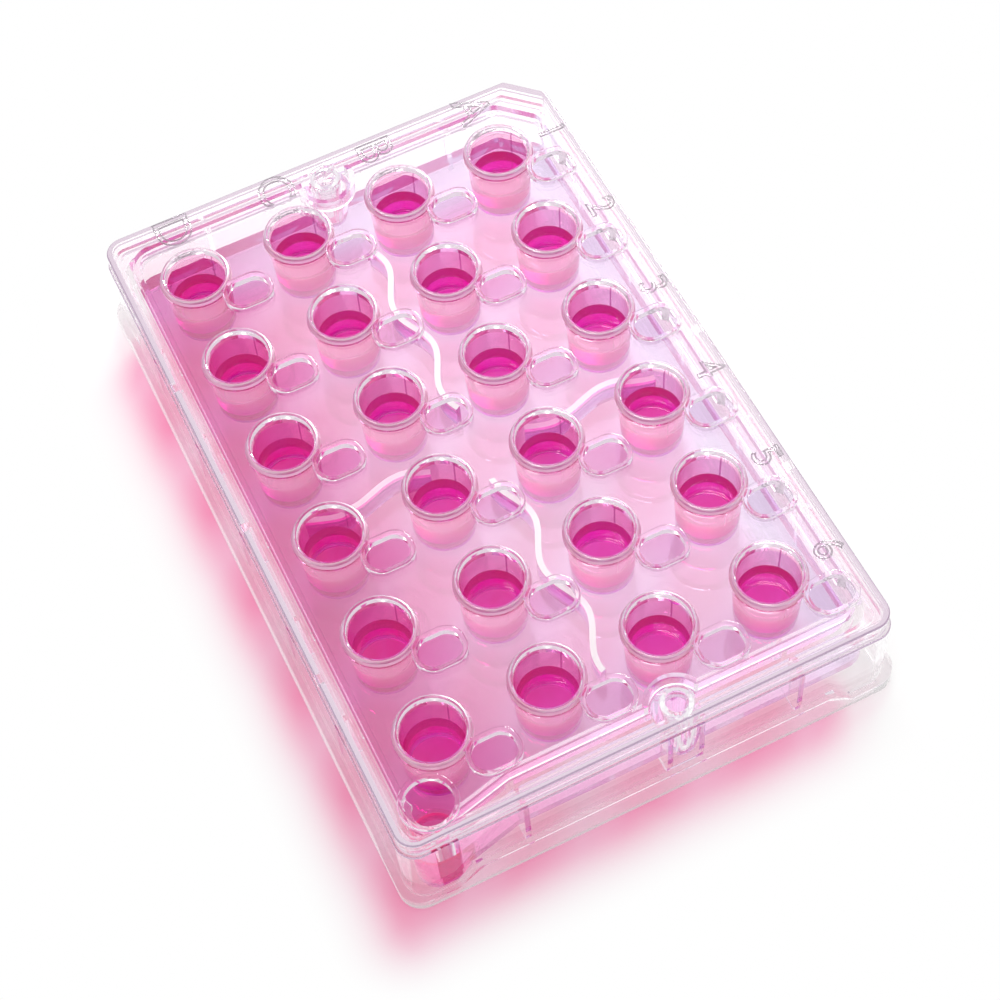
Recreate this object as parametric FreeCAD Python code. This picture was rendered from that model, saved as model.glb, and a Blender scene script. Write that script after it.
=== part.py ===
"""Hanging cell-culture insert plate, 24 wells, seated on a single-well feeder tray.

Frame: origin at the middle of the base, +Z up, X along the 127.76 mm side, Y along the 85.48 mm side.
Columns 1 to 6 run along +X, rows A to D run along -Y, so well A1 is at the -X, +Y corner.
All lengths are in millimetres.
"""
import FreeCAD, Part
import math
import os

V = FreeCAD.Vector

# ---- driving dimensions ----
FOOT_X, FOOT_Y = 127.76, 85.48      # base footprint
FLANGE_WIDTH = 1.27                 # ledge round the foot
FLANGE_LOW = 2.41                   # ledge height at the corners
FLANGE_TALL = 6.10                  # ledge height along the middle of each side
FLANGE_RAMP_OUT, FLANGE_RAMP_IN = 7.0, 12.0     # where each ramp starts and ends, from the corner
EDGE_ROUND = 0.35                   # outer moulded edges
CORNER_RADIUS = 3.2                 # outer corners
FOOT_CORNER_RADIUS = 3.8
INNER_CORNER_RADIUS = 2.2           # inside the skirts
KEY_CHAMFER = 5.6                   # cut corner next to well A1
KEY_RADIUS = 1.0
THROUGH = 1.0                       # how far a cutter runs past what it cuts
SLACK = 0.01                        # tolerance when edges are picked by height

TRAY_TOP = 16.5                     # ledge that carries the insert plate
TRAY_LIP_TOP = 17.9                 # locating lip inside the plate's skirt
TRAY_WALL = 1.2
BASIN_WALL = 1.0
BASIN_FLOOR = 5.6                   # top of the basin floor
FLOOR_THICKNESS = 1.1
BASIN_FAR_GAP, BASIN_NEAR_GAP = 4.58, 5.98      # from the footprint in to the basin's inner faces
BASIN_SIDE_GAP = 4.44
BASIN_X0 = -FOOT_X / 2 + BASIN_FAR_GAP
BASIN_X1 = FOOT_X / 2 - BASIN_NEAR_GAP
BASIN_Y = FOOT_Y / 2 - BASIN_SIDE_GAP
BASIN_CORNER, BASIN_PORT_CORNER, BASIN_KEY_CORNER = 4.0, 3.5, 2.5     # corner radii inside the basin
BASIN_KEY = 5.9                     # cut corner inside the basin
SUMP_FLOOR = 1.7
SUMP_RADIUS = 4.0
SUMP_WALL = 0.9
FLARE_LENGTH = 12.5                 # stretch of the near wall that leans out to the sump
LIP_GAP = 0.2                       # between the tray's lip and the plate's skirt
LIP_WALL = 0.9
LIP_SINK = 0.1                      # lip's root in the ledge
LIP_INNER_RADIUS = 1.6
MEDIUM_LEVEL = 10.2                 # liquid in the tray
BAFFLE_TOP = 11.6
BAFFLE_THICKNESS = 1.0
BAFFLE_WAVE_X, BAFFLE_WAVE_Y = 1.5, 1.1     # half the swing of the walls along X and along Y
BAFFLE_X, BAFFLE_Y = 0.0, 0.9       # middle lines of the cross
BAFFLE_SPANS_X = ((-44.6, -7.7), (7.5, 46.8))       # walls along X, from the middle of the grid
BAFFLE_SPANS_Y = ((-30.5, -8.1), (8.9, 33.1))       # walls along Y, from the middle of the grid
BAFFLE_CREST_SHIFT = 1.2            # crests of the walls along Y, from the access holes' rows
BAFFLE_ROOT = 0.3                   # depth of the walls in the floor
BAFFLE_STEPS = 24                   # points along each wall's curve
GUSSET_BOTTOM = 3.0
FAR_GUSSET_Y = 23.0
NEAR_GUSSETS_Y = (-21.6, 25.0)
NEAR_BOX_HALF = 2.7                 # half the width of the box round the near peg's pocket

PITCH = 19.0
GRID_X, GRID_Y = -0.85, -0.7        # middle of the well grid
ROWS = "ABCD"
COLUMNS = 6

DECK_TOP = 19.5
DECK_THICKNESS = 0.8
PLATE_INSET = 1.6                   # plate's side, in from the footprint
PLATE_EDGE_TOP = 19.9               # low lip round the deck
PLATE_SKIRT = 1.0
RIM_TOP = 20.5                      # mouths of wells, access holes and port
WELL_MOUTH_R, WELL_RIM_R = 5.1, 5.85
MOUTH_ROUNDING = ((0.0, 0.4), (0.12, 0.12), (0.35, 0.0))    # rim's inner edge: (out from the bore, down)
RIM_ROUNDING = ((0.3, 0.0), (0.08, 0.12), (0.0, 0.35))      # rim's outer edge: (in from the outside, down)
RIM_FILLET = 0.3                    # where the rim meets the deck
WELL_ROOT = 0.6                     # slope under the deck to the hanging wall
MOUTH_CLEARANCE = 0.3               # deck cleared round the bore before the wall goes in
BORE_CUT = 2.0                      # bores cut this far above and below the deck's top
WELL_TOP_R, WELL_BOTTOM_R = 5.6, 5.15   # outside of the hanging wall
WELL_BORE_BOTTOM_R = 4.7
WELL_LEDGE_R, WELL_LEDGE_Z = 4.3, 7.6
WELL_LEDGE_DROP = 0.3               # slope from the bore to the ledge
WELL_BOTTOM = 6.8
MEMBRANE_THICKNESS = 0.15
MEMBRANE_INSET = 0.1                # membrane's edge, in from the wall's outside
WELL_LEVEL = 13.5                   # liquid in the wells
HOLE_OFFSET_X, HOLE_OFFSET_Y = 7.28, 6.8    # access hole from its well
HOLE_X, HOLE_Y, HOLE_ROUND = 7.0, 8.6, 3.15     # outside of the access hole's rim
RIM_WALL = 0.75
RIM_ROUND = 0.3
NECK_WIDTH, NECK_LENGTH, NECK_SINK = 2.4, 1.0, 0.4
NECK_AIM = 0.8                      # the neck points this far short of the hole's middle
PORT_INSET_X, PORT_INSET_Y, PORT_R = 7.08, 8.24, 3.9
PORT_X = FOOT_X / 2 - PORT_INSET_X
PORT_Y = -FOOT_Y / 2 + PORT_INSET_Y
FAR_PEG_INSET, NEAR_PEG_INSET = 6.28, 4.88
FAR_PEG = (-FOOT_X / 2 + FAR_PEG_INSET, -1.2)
NEAR_PEG = (FOOT_X / 2 - NEAR_PEG_INSET, 5.2)
PEG_TOP_R, PEG_TIP_R = 2.75, 1.7
PEG_BORE_R, PEG_BORE_TIP_R = 1.8, 0.9
PEG_TOP_Z = 19.9
PEG_TIP_STEPS = 5                   # points round the tip
PEG_TIP_Z = 9.2
PEG_POCKET_WALL = 0.9
PEG_CLEARANCE = 0.3
RIB = 0.9                           # gussets and locating rib
RIB_DEPTH = 2.4                     # locating rib below the deck
RIB_GAP = 0.35                      # between the locating rib and the basin's wall
RIB_PEG_GAP = 1.5                   # between a peg and the rib's bow round it
DECK_INSET = 0.3                    # deck's edge, in from the plate's side
NOTCH_PITCH, NOTCH_WIDTH, NOTCH_HEIGHT = 30.0, 2.0, 0.7     # finger notches under the plate's long sides


# ---- outlines and basic solids ----
def rounded_polygon(corners):
    """Face at z = 0 from (x, y, radius) corners in order."""
    edges = []
    count = len(corners)
    cuts = []
    for i, (x, y, radius) in enumerate(corners):
        here = V(x, y, 0)
        before = V(corners[i - 1][0], corners[i - 1][1], 0) - here
        after = V(corners[(i + 1) % count][0], corners[(i + 1) % count][1], 0) - here
        before.normalize()
        after.normalize()
        half = before.getAngle(after) / 2
        reach = radius / math.tan(half)
        bisector = before + after
        bisector.normalize()
        centre = here + bisector * (radius / math.sin(half))
        cuts.append((here + before * reach, centre - bisector * radius, here + after * reach, radius))
    for i in range(count):
        start, middle, end, radius = cuts[i]
        if radius > 0:
            edges.append(Part.Arc(start, middle, end).toShape())
        edges.append(Part.LineSegment(end, cuts[(i + 1) % count][0]).toShape())
    return Part.Face(Part.Wire(edges))


def prism(face, bottom, top):
    solid = face.extrude(V(0, 0, top - bottom))
    solid.translate(V(0, 0, bottom))
    return solid


def keyed_outline(inset, radius=CORNER_RADIUS, chamfer=KEY_CHAMFER):
    """The footprint moved in by inset, with the cut corner next to well A1."""
    x = FOOT_X / 2 - inset
    y = FOOT_Y / 2 - inset
    return rounded_polygon([
        (x, -y, radius), (x, y, radius),
        (-x + chamfer, y, KEY_RADIUS), (-x, y - chamfer, KEY_RADIUS),
        (-x, -y, radius)])


def basin_outline(grow=0.0):
    """Inside of the basin, grown outwards by grow, with the bulge over the sump."""
    x0 = BASIN_X0 - grow
    x1 = BASIN_X1 + grow
    y = BASIN_Y + grow
    body = rounded_polygon([
        (x1, -y, BASIN_PORT_CORNER), (x1, y, BASIN_CORNER),
        (x0 + BASIN_KEY, y, BASIN_KEY_CORNER), (x0, y - BASIN_KEY, BASIN_KEY_CORNER),
        (x0, -y, BASIN_CORNER)])
    flare = rounded_polygon([
        (PORT_X - SUMP_RADIUS, PORT_Y + FLARE_LENGTH, 0), (PORT_X - SUMP_RADIUS, PORT_Y, 0),
        (PORT_X + SUMP_RADIUS + grow, PORT_Y, 0), (x1, PORT_Y + FLARE_LENGTH, 0)])
    bulge = disc(PORT_X, PORT_Y, SUMP_RADIUS + grow)
    return body.fuse([flare, bulge]).removeSplitter()


def disc(x, y, radius):
    return Part.Face(Part.Wire(Part.makeCircle(radius, V(x, y, 0))))


def hole_outline(x, y, inset):
    """The access hole's rounded oblong, moved in from the outside of its rim."""
    half_x = HOLE_X / 2 - inset
    half_y = HOLE_Y / 2 - inset
    radius = HOLE_ROUND - inset
    return rounded_polygon([
        (x + half_x, y - half_y, radius), (x + half_x, y + half_y, radius),
        (x - half_x, y + half_y, radius), (x - half_x, y - half_y, radius)])


def round_top(solid, top, radius):
    """Rounds the edges that lie on the plane z = top."""
    return solid.makeFillet(radius, [e for e in solid.Edges if e.BoundBox.ZMin > top - SLACK])


def turned(profile, x, y):
    """Solid of revolution from (radius, z) points about a vertical axis at x, y."""
    points = [V(r, 0, z) for r, z in profile]
    wire = Part.makePolygon(points + points[:1])
    solid = Part.Face(wire).revolve(V(0, 0, 0), V(0, 0, 1), 360)
    solid.translate(V(x, y, 0))
    return solid


def box(x0, x1, y0, y1, z0, z1):
    return Part.makeBox(x1 - x0, y1 - y0, z1 - z0, V(x0, y0, z0))


def well_centres():
    for row, letter in enumerate(ROWS):
        for column in range(COLUMNS):
            x = GRID_X + (column - (COLUMNS - 1) / 2) * PITCH
            y = GRID_Y + ((len(ROWS) - 1) / 2 - row) * PITCH
            yield letter + str(column + 1), x, y


# ---- feeder tray ----
def foot(inset, drop):
    """Flange body: low at the corners, taller along the middle of each side."""
    x = FOOT_X / 2 - inset
    y = FOOT_Y / 2 - inset
    top = FLANGE_TALL - drop
    outline = keyed_outline(inset, FOOT_CORNER_RADIUS)
    low = prism(outline, 0, FLANGE_LOW - drop)
    tall = prism(outline, 0, top)
    out_x, in_x = FOOT_X / 2 - FLANGE_RAMP_OUT, FOOT_X / 2 - FLANGE_RAMP_IN - drop
    out_y, in_y = FOOT_Y / 2 - FLANGE_RAMP_OUT, FOOT_Y / 2 - FLANGE_RAMP_IN - drop
    short_side = Part.makePolygon([
        V(-x, -out_y, 0), V(-x, out_y, 0), V(-x, in_y, top), V(-x, -in_y, top), V(-x, -out_y, 0)])
    long_side = Part.makePolygon([
        V(-out_x, -y, 0), V(out_x, -y, 0), V(in_x, -y, top), V(-in_x, -y, top), V(-out_x, -y, 0)])
    across = Part.Face(short_side).extrude(V(2 * x, 0, 0))
    along = Part.Face(long_side).extrude(V(0, 2 * y, 0))
    return low.fuse(tall.common(across.fuse(along)))


def outer_shell():
    wall = round_top(prism(keyed_outline(FLANGE_WIDTH), 0, TRAY_TOP), TRAY_TOP, EDGE_ROUND)
    body = wall.fuse(foot(0, 0))
    hollow_outline = keyed_outline(FLANGE_WIDTH + TRAY_WALL, INNER_CORNER_RADIUS)
    hollow = prism(hollow_outline, -THROUGH, TRAY_TOP - TRAY_WALL)
    under_ledge = foot(TRAY_WALL, TRAY_WALL)
    return body.cut([hollow, under_ledge])


def tray_lip():
    inset = PLATE_INSET + PLATE_SKIRT + LIP_GAP
    low, high = TRAY_TOP - THROUGH, TRAY_LIP_TOP + THROUGH
    outside = prism(keyed_outline(inset, INNER_CORNER_RADIUS), TRAY_TOP - LIP_SINK, TRAY_LIP_TOP)
    inside = prism(keyed_outline(inset + LIP_WALL, LIP_INNER_RADIUS), low, high)
    return outside.cut([inside, prism(basin_outline(), low, high)])


def gussets():
    """Upright ribs between the basin and the skirt."""
    top = TRAY_TOP - TRAY_WALL / 2
    in_wall = BASIN_WALL / 2
    skirt_x = FOOT_X / 2 - FLANGE_WIDTH - TRAY_WALL / 2
    skirt_y = FOOT_Y / 2 - FLANGE_WIDTH - TRAY_WALL / 2
    ribs = []
    box_sides = (NEAR_PEG[1] - NEAR_BOX_HALF, NEAR_PEG[1] + NEAR_BOX_HALF)
    for y in NEAR_GUSSETS_Y + box_sides:
        ribs.append(box(BASIN_X1 + in_wall, skirt_x, y - RIB / 2, y + RIB / 2, GUSSET_BOTTOM, top))
    for y in (-FAR_GUSSET_Y, FAR_GUSSET_Y):
        ribs.append(box(-skirt_x, BASIN_X0 - in_wall, y - RIB / 2, y + RIB / 2, GUSSET_BOTTOM, top))
    for column in range(1, COLUMNS):
        x = GRID_X + (column - COLUMNS / 2) * PITCH
        ribs.append(box(x - RIB / 2, x + RIB / 2, BASIN_Y + in_wall, skirt_y, GUSSET_BOTTOM, top))
        ribs.append(box(x - RIB / 2, x + RIB / 2, -skirt_y, -BASIN_Y - in_wall, GUSSET_BOTTOM, top))
    ribs.append(box(BASIN_X1 + in_wall, skirt_x, *box_sides, GUSSET_BOTTOM, GUSSET_BOTTOM + RIB))
    return ribs


def wave_wall(start, end, middle, amplitude, crest, along_y=False):
    """Upright wall from start to end on a wavy centre line, one wave to a pitch, with a crest at crest."""
    sides = []
    for side in (1, -1):
        points = []
        for i in range(BAFFLE_STEPS + 1):
            s = start + (end - start) * i / BAFFLE_STEPS
            phase = 2 * math.pi * (s - crest) / PITCH
            slope = -amplitude * 2 * math.pi / PITCH * math.sin(phase)
            length = math.hypot(1, slope)
            t = middle + amplitude * math.cos(phase)
            u = s - side * BAFFLE_THICKNESS / 2 * slope / length
            v = t + side * BAFFLE_THICKNESS / 2 / length
            points.append(V(v, u, 0) if along_y else V(u, v, 0))
        curve = Part.BSplineCurve()
        curve.interpolate(points)
        sides.append((curve.toShape(), points))
    ends = [Part.LineSegment(sides[0][1][k], sides[1][1][k]).toShape() for k in (0, -1)]
    wire = Part.Wire(Part.__sortEdges__([sides[0][0], ends[1], sides[1][0], ends[0]]))
    return prism(Part.Face(wire), BASIN_FLOOR - BAFFLE_ROOT, BAFFLE_TOP)


def baffles():
    """A broken cross of four wavy walls that stop the liquid from slopping."""
    crest_x = GRID_X - PITCH / 2 + HOLE_OFFSET_X
    crest_y = GRID_Y - PITCH / 2 + HOLE_OFFSET_Y - BAFFLE_CREST_SHIFT
    along_x = [wave_wall(GRID_X + start, GRID_X + end, BAFFLE_Y, BAFFLE_WAVE_X, crest_x)
               for start, end in BAFFLE_SPANS_X]
    along_y = [wave_wall(GRID_Y + start, GRID_Y + end, BAFFLE_X, BAFFLE_WAVE_Y, crest_y, True)
               for start, end in BAFFLE_SPANS_Y]
    return along_x + along_y


def peg_profile(grow, top):
    """Outside of a tapered peg with a rounded tip, from its axis."""
    tip = PEG_TIP_R + grow
    points = [(0, PEG_TIP_Z - tip)]
    for i in range(1, PEG_TIP_STEPS + 1):
        angle = math.pi / 2 * i / PEG_TIP_STEPS
        points.append((tip * math.sin(angle), PEG_TIP_Z - tip * math.cos(angle)))
    points.append((PEG_TOP_R + grow, top))
    points.append((0, top))
    return points


def peg_pockets():
    profile = peg_profile(PEG_CLEARANCE + PEG_POCKET_WALL, TRAY_TOP)
    return [turned(profile, *peg) for peg in (FAR_PEG, NEAR_PEG)]


def feeder_tray():
    basin = prism(basin_outline(BASIN_WALL), BASIN_FLOOR - FLOOR_THICKNESS, TRAY_TOP)
    sump_shell = Part.makeCylinder(SUMP_RADIUS + SUMP_WALL, TRAY_TOP - SUMP_FLOOR + SUMP_WALL,
                                   V(PORT_X, PORT_Y, SUMP_FLOOR - SUMP_WALL))
    inside = prism(basin_outline(), BASIN_FLOOR, TRAY_TOP + THROUGH)
    sump = Part.makeCylinder(SUMP_RADIUS, TRAY_TOP, V(PORT_X, PORT_Y, SUMP_FLOOR))
    cavity_profile = peg_profile(PEG_CLEARANCE, TRAY_TOP + 2 * THROUGH)
    cavities = [turned(cavity_profile, *peg) for peg in (FAR_PEG, NEAR_PEG)]
    tray = outer_shell().fuse([basin, sump_shell] + gussets())
    tray = tray.cut([inside, sump])
    limits = prism(keyed_outline(FLANGE_WIDTH + TRAY_WALL / 2), 0, TRAY_TOP)
    tray = tray.fuse([pocket.common(limits) for pocket in peg_pockets()] + baffles() + [tray_lip()])
    return tray.cut(cavities).removeSplitter()


# ---- insert plate ----
def bore_foot():
    """Profile points of the ledge and the lower end of the bore."""
    return [(WELL_LEDGE_R, WELL_BOTTOM), (WELL_LEDGE_R, WELL_LEDGE_Z - WELL_LEDGE_DROP),
            (WELL_BORE_BOTTOM_R, WELL_LEDGE_Z)]


def well_wall(x, y):
    deck_bottom = DECK_TOP - DECK_THICKNESS
    mouth = [(WELL_MOUTH_R + out, RIM_TOP - down) for out, down in MOUTH_ROUNDING]
    rim = [(WELL_RIM_R - back, RIM_TOP - down) for back, down in RIM_ROUNDING]
    root = [(WELL_RIM_R, DECK_TOP + RIM_FILLET), (WELL_RIM_R + RIM_FILLET, DECK_TOP),
            (WELL_RIM_R + RIM_FILLET, deck_bottom), (WELL_TOP_R, deck_bottom - WELL_ROOT)]
    return turned(bore_foot() + mouth + rim + root + [(WELL_BOTTOM_R, WELL_BOTTOM)], x, y)


def access_rim(x, y):
    return round_top(prism(hole_outline(x, y, 0), DECK_TOP - DECK_THICKNESS, RIM_TOP), RIM_TOP, RIM_ROUND)


def access_hole(x, y):
    bottom = DECK_TOP - DECK_THICKNESS - RIB_DEPTH - THROUGH
    return prism(hole_outline(x, y, RIM_WALL), bottom, RIM_TOP + THROUGH)


def neck(x, y):
    """Short web that joins a well's rim to its access hole's rim."""
    angle = math.atan2(HOLE_OFFSET_Y - NECK_AIM, HOLE_OFFSET_X)
    web = Part.makeBox(NECK_LENGTH, NECK_WIDTH, RIM_TOP - RIM_ROUND - DECK_TOP,
                       V(WELL_RIM_R - NECK_SINK, -NECK_WIDTH / 2, DECK_TOP))
    web.rotate(V(0, 0, 0), V(0, 0, 1), math.degrees(angle))
    web.translate(V(x, y, 0))
    return web


def hollow_peg(x, y):
    """A peg's outside and its bore."""
    outside = turned(peg_profile(0, PEG_TOP_Z), x, y)
    bore = Part.makeCone(PEG_BORE_TIP_R, PEG_BORE_R, PEG_TOP_Z - PEG_TIP_Z, V(x, y, PEG_TIP_Z))
    return outside, bore


def round_pegs(radius):
    return [Part.makeCylinder(radius, RIM_TOP, V(x, y, 0)) for x, y in (FAR_PEG, NEAR_PEG)]


def locating_rib():
    """Thin rib under the deck that drops just inside the basin and bows round the pegs."""
    top = DECK_TOP - DECK_THICKNESS
    bottom = top - RIB_DEPTH
    bow = PEG_TOP_R + RIB_PEG_GAP
    outside = prism(basin_outline(-RIB_GAP), bottom, top).cut(round_pegs(bow))
    inside = prism(basin_outline(-RIB_GAP - RIB), bottom - THROUGH, top + THROUGH).cut(round_pegs(bow + RIB))
    return outside.cut(inside)


def plate_edge():
    block = prism(keyed_outline(PLATE_INSET), TRAY_TOP, PLATE_EDGE_TOP)
    outside = round_top(block, PLATE_EDGE_TOP, EDGE_ROUND)
    low = TRAY_TOP - THROUGH
    inner = keyed_outline(PLATE_INSET + PLATE_SKIRT, INNER_CORNER_RADIUS)
    inside = prism(inner, low, PLATE_EDGE_TOP + THROUGH)
    half = NOTCH_WIDTH / 2
    notches = [box(x - half, x + half, -FOOT_Y, FOOT_Y, low, TRAY_TOP + NOTCH_HEIGHT)
               for x in (-NOTCH_PITCH, 0, NOTCH_PITCH)]
    edge = outside.cut([inside] + notches)
    deck = prism(keyed_outline(PLATE_INSET + DECK_INSET), DECK_TOP - DECK_THICKNESS, DECK_TOP)
    return edge.fuse(deck)


def deck_bore(x, y, radius):
    """Cutter for a round hole through the deck."""
    return Part.makeCylinder(radius, 2 * BORE_CUT, V(x, y, DECK_TOP - BORE_CUT))


def insert_plate():
    adds = [locating_rib()]
    bores = []
    for _, x, y in well_centres():
        hole = (x + HOLE_OFFSET_X, y + HOLE_OFFSET_Y)
        adds += [access_rim(*hole), neck(x, y)]
        bores += [access_hole(*hole), deck_bore(x, y, WELL_MOUTH_R + MOUTH_CLEARANCE)]
    port = Part.makeCylinder(PORT_R + RIM_WALL, RIM_TOP - DECK_TOP + DECK_THICKNESS,
                             V(PORT_X, PORT_Y, DECK_TOP - DECK_THICKNESS))
    adds.append(round_top(port, RIM_TOP, RIM_ROUND))
    bores.append(deck_bore(PORT_X, PORT_Y, PORT_R))
    for peg in (FAR_PEG, NEAR_PEG):
        outside, bore = hollow_peg(*peg)
        adds.append(outside)
        bores.append(bore)
    plate = plate_edge().fuse(adds).cut(bores)
    return plate.fuse([well_wall(x, y) for _, x, y in well_centres()]).removeSplitter()


def membrane(x, y):
    bottom = V(x, y, WELL_BOTTOM - MEMBRANE_THICKNESS)
    return Part.makeCylinder(WELL_BOTTOM_R - MEMBRANE_INSET, MEMBRANE_THICKNESS, bottom)


# ---- liquids ----
def tapered(z, low_r, low_z, high_r, high_z):
    """Radius at height z of a wall that tapers from one radius and height to another."""
    return low_r + (high_r - low_r) * (z - low_z) / (high_z - low_z)


def well_medium(x, y):
    bore_top = RIM_TOP - MOUTH_ROUNDING[0][1]
    radius = tapered(WELL_LEVEL, WELL_BORE_BOTTOM_R, WELL_LEDGE_Z, WELL_MOUTH_R, bore_top)
    return turned([(0, WELL_BOTTOM)] + bore_foot() + [(radius, WELL_LEVEL), (0, WELL_LEVEL)], x, y)


def tray_medium():
    """Liquid in the basin and the sump, round the wells, the peg pockets and the baffles."""
    root = DECK_TOP - DECK_THICKNESS - WELL_ROOT
    high = MEDIUM_LEVEL + THROUGH
    radius = tapered(high, WELL_BOTTOM_R, WELL_BOTTOM, WELL_TOP_R, root)
    liquid = prism(basin_outline(), BASIN_FLOOR, MEDIUM_LEVEL)
    sump = Part.makeCylinder(SUMP_RADIUS, MEDIUM_LEVEL - SUMP_FLOOR, V(PORT_X, PORT_Y, SUMP_FLOOR))
    wells = []
    for _, x, y in well_centres():
        wells.append(Part.makeCone(WELL_BOTTOM_R, radius, high - WELL_BOTTOM, V(x, y, WELL_BOTTOM)))
        wells.append(membrane(x, y))
    return liquid.fuse(sump).cut(wells + peg_pockets() + baffles()).removeSplitter()


# ---- output ----
def save(name, shape):
    if len(shape.Solids) != 1:
        raise ValueError(name + " isn't one solid")
    solid = shape.Solids[0]
    solid.exportStep("parts/" + name + ".step")
    print(name, solid.isValid(), round(solid.Volume, 1))


os.makedirs("parts", exist_ok=True)
save("feeder_tray", feeder_tray())
save("insert_plate", insert_plate())
save("tray_medium", tray_medium())
for well, well_x, well_y in well_centres():
    save("membrane_" + well, membrane(well_x, well_y))
    save("well_medium_" + well, well_medium(well_x, well_y))
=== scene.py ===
"""Looks of a hanging-insert well plate on its feeder tray.

The two clear mouldings and the membranes are the CAD nodes with new materials. The pink medium in
the wells and in the tray is made here, and so are the row letters and column numbers.
"""

import math

import bmesh
import bpy
from mathutils import Matrix, Vector


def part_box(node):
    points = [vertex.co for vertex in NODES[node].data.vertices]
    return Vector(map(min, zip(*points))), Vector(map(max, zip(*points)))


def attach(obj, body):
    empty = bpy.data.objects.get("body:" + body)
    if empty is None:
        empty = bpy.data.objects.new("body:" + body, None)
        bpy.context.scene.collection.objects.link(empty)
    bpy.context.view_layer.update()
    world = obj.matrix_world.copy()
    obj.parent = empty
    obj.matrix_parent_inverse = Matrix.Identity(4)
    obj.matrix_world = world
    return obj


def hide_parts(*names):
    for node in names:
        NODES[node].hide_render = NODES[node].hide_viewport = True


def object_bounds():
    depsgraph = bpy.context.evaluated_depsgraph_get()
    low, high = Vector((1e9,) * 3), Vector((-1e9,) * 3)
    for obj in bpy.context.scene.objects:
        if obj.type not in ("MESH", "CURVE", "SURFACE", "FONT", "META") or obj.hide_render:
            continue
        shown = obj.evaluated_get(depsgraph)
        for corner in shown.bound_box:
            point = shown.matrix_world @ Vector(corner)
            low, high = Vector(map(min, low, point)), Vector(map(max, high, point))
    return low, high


bl_info = {
    "name": "Hanging Insert Well Plate",
    "version": (1, 0, 0),
    "blender": (4, 5, 0),
    "location": "3D View > Sidebar > Well Plate",
    "description": "Finishes the clear plate, its tray, the membranes and the pink medium in them",
    "category": "Object",
}

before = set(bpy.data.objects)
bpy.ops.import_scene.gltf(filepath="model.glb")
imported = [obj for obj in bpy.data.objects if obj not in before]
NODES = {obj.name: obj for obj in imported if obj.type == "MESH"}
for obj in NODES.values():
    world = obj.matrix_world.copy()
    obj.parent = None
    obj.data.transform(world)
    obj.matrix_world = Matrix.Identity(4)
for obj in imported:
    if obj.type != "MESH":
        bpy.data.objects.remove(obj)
CAD_LOW, CAD_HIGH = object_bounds()
MM = 0.001
ROWS = "ABCD"
COLUMNS = 6
WHITE = (1.0, 1.0, 1.0)

# ---- places on the plate, from the frame ----
WELL_LOW, WELL_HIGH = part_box("well_medium_A1")
WELL_FLOOR, WELL_LEVEL = WELL_LOW.z, WELL_HIGH.z
MEDIUM_LOW, MEDIUM_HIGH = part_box("tray_medium")
RIM_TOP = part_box("insert_plate")[1].z
RIM_BAND = 2.0 * MM                     # height of the thick rim at the mouth of a well
WALL_REACH = 6.6 * MM                   # from a well's middle to just outside its wall
SUMP_RADIUS = 4.0 * MM
SUMP_REACH = 5.2 * MM                   # a little more than the sump, to catch its whole wall
SUMP_TOP = 10.0 * MM
SUMP = Vector((MEDIUM_HIGH.x - SUMP_RADIUS, MEDIUM_LOW.y + SUMP_RADIUS))
BAFFLE_END = 7.0 * MM                   # the baffles stop this far inside the tray's outline
BAFFLE_REACH = 3.6 * MM                 # half the width of the band that the wavy baffles fill
SPINE_REACH = 4.0 * MM                  # half the width of the band of the two long baffles
EDGE_BAND = 3.0 * MM                    # how far in from the outline an outer edge may be
SHADED_SIDE_START, SHADED_SIDE_END = -38.0 * MM, 6.0 * MM     # painted shade: the medium turns from its deeper shaded side to its own colour across this stretch of Y

# ---- which faces are which, by the upright share of their normal ----
FLAT = 0.9                              # above this a face lies flat
UPRIGHT = 0.1                           # below this a face stands upright
STEEP = 0.7                             # below this a face is part of a side
EDGE_TILT = (0.15, 0.92)                # a rounded edge lies between these
EDGE_OUTWARD = 0.2                      # and faces outwards by more than this
CORNER_ANGLE = math.radians(28)         # faces that meet at less than this shade as one
LEVEL_SLACK = 0.1 * MM
WELD_DISTANCE = 0.0005 * MM

# ---- liquid in a well: a stepped floor, a tapered bore and a meniscus ----
LEDGE_RADIUS = 4.3 * MM
LEDGE_HEIGHT = 0.8 * MM
LEDGE_SLOPE = 0.3 * MM
BORE_FOOT = 4.7 * MM                    # radius of the bore just above the ledge
MENISCUS_REACH = 1.5 * MM
MENISCUS_STEPS = 7
MENISCUS_DECAY = 3.2
LATHE_SEGMENTS = 96

# ---- finish of the plastic ----
PLASTIC_IOR = 1.58
POLISH = 0.003                          # roughness of a moulded face
TRAY_SCUFF, INSERT_SCUFF = 0.05, 0.04   # roughness added where the plate was handled
MARK_STRENGTH = 0.008
MARK_DEPTH = 0.3 * MM
PLASTIC_SHADE = (0.998, 0.99, 0.995)    # what one clear face lets through to its shadow
TRAY_SHADE = (0.997, 0.96, 0.975)
PLASTIC_PIPED = (0.80, 0.72, 0.80)      # painted glow: a flat colour that stands in for light piped inside the plastic
PIPED_DEPTH = 8.5                       # bounces after which light counts as piped
RIM_GLEAM = 0.5                         # share of soft gloss on a rim
GLEAM_ROUGHNESS = 0.3
VEIL_SHARE = 0.1                        # share of milky light on a well's wall
VEIL_COLOUR = (0.97, 0.93, 0.97)
BELOW_LEVEL_SHADE = (0.8, 0.02, 1.0)           # painted shade: wall tint below the liquid level, against the wall above it
TIDE_BELOW, TIDE_ABOVE = 3.0 * MM, 1.0 * MM
SEAM_COLOUR = (0.45, 0.06, 0.25)
SEAM_ANGLE = math.radians(130)          # where the mould line of each well stands
SEAM_WIDTH = 0.3 * MM
LABEL_TINT = 0.52                       # the labels' lines are this much of the plastic's tint
CREST_ROUGHNESS = 0.45
CREST_CLEAR, FAINT_CREST_CLEAR = 0.15, 0.6

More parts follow.
